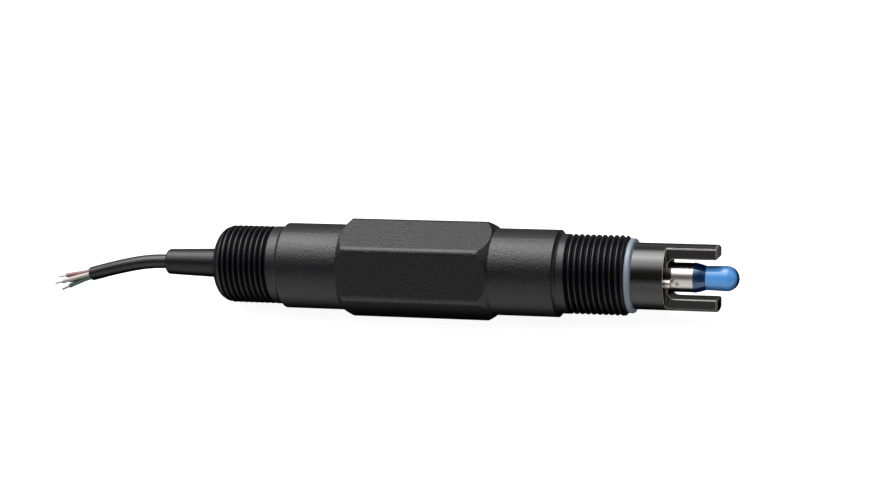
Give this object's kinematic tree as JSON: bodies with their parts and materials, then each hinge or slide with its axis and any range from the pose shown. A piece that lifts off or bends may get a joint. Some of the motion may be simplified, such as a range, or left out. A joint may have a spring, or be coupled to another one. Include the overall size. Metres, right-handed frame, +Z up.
{
  "type": "ph electrode",
  "caption": "Screw-in digital pH electrode: a threaded black housing with a hexagon grip, a forked guard round a glass bulb, and a moulded cable boot with stripped cable.",
  "frame": {"origin": "on the sensor's axis, in the plane where the front thread starts against the neck", "axes": "+X along the axis towards the glass bulb, +Z up with one flat of the hexagon down, +Y completing a right-handed frame"},
  "size_m": [0.2502, 0.034, 0.0302],
  "materials": {
    "body": "moulded black, fine grain",
    "boot": "moulded black, satin",
    "cable": "extruded black, satin",
    "seal_ring": "pale blue-white, satin",
    "guard": "polished near-black",
    "oring": "black, satin",
    "stem": "polished",
    "pin": "bright",
    "bead": "black, satin",
    "seal": "dark blue, glossy",
    "glass": "clear blue",
    "porous": "porous, matte",
    "buffer": "liquid, blue",
    "gel": "clear gel",
    "silver": "drawn wire",
    "stopper": "grey, matte",
    "element": "ceramic white",
    "potting": "cast resin",
    "board": "green solder mask",
    "chip": "moulded black",
    "can": "pressed can",
    "capacitor": "fired, matte",
    "connector": "moulded white",
    "lead": "insulated wire",
    "red_wire": "insulated wire",
    "green_wire": "insulated wire",
    "white_wire": "insulated wire",
    "black_wire": "insulated wire",
    "tinned": "tinned strands"
  },
  "bodies": {
    "root": {"body_housing": "body", "front_seal_ring": "seal_ring", "sensor_guard": "guard", "guard_orings": "oring", "stem_sleeve": "stem", "junction_plug": "porous", "stem_bead": "bead", "glass_electrode": "glass", "inner_electrode": "silver", "buffer_fill": "buffer", "bulb_seal": "seal", "reference_gel": "gel", "reference_electrode": "silver", "chamber_plug": "stopper", "temperature_pin": "pin", "platinum_element": "element", "front_potting": "potting", "circuit_board": "board", "processor": "chip", "bus_transceiver": "chip", "voltage_regulator": "chip", "quartz": "can", "input_amplifier": "chip", "cable_connector": "connector", "sensor_connector": "connector", "chip_capacitors": "capacitor", "sensor_leads": "lead", "cable_leads": "lead", "cable_boot": "boot", "rear_potting": "potting", "cable_inner": "cable", "cable_jacket": "cable", "core_red": "red_wire", "core_green": "green_wire", "core_white": "white_wire", "core_black": "black_wire", "core_tips": "tinned"}
  },
  "joints": []
}
